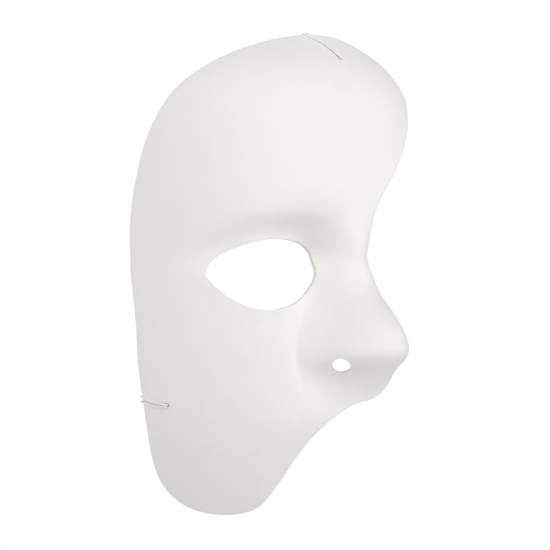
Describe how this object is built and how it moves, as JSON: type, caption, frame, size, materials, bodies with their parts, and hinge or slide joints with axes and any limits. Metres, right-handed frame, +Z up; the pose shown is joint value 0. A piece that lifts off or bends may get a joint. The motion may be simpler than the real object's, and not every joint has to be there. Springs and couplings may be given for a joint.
{
  "type": "half-face masquerade mask",
  "caption": "White moulded half-face mask with an eye opening and a whole nose, hitched to a thin round elastic head strap.",
  "frame": {"origin": "on the middle plane of the face, level with the eye, in the plane of the outer cheek edge, where the wearer's head meets the mask", "axes": "+Z up, the mask faces -Y, +Y is towards the back of the wearer's head, the eye opening is on the -X side"},
  "size_m": [0.1198, 0.0865, 0.2098],
  "materials": {
    "shell": "matt off-white moulded skin with a faint mottle",
    "elastic": "white braided round elastic"
  },
  "bodies": {
    "mask": {"mask_shell": "shell", "top_hitch": "elastic", "top_knot": "elastic", "side_hitch": "elastic", "side_knot": "elastic", "strap_upper": "elastic", "strap_lower": "elastic"},
    "strap": {"strap_middle": "elastic"}
  },
  "joints": [
    {"name": "strap_pull", "type": "slide", "parent": "mask", "child": "strap", "axis": [0, 1, 0], "range_m": [0, 0.14], "stiffness_N_per_m": 30, "deforming": ["strap_upper", "strap_lower"]}
  ]
}
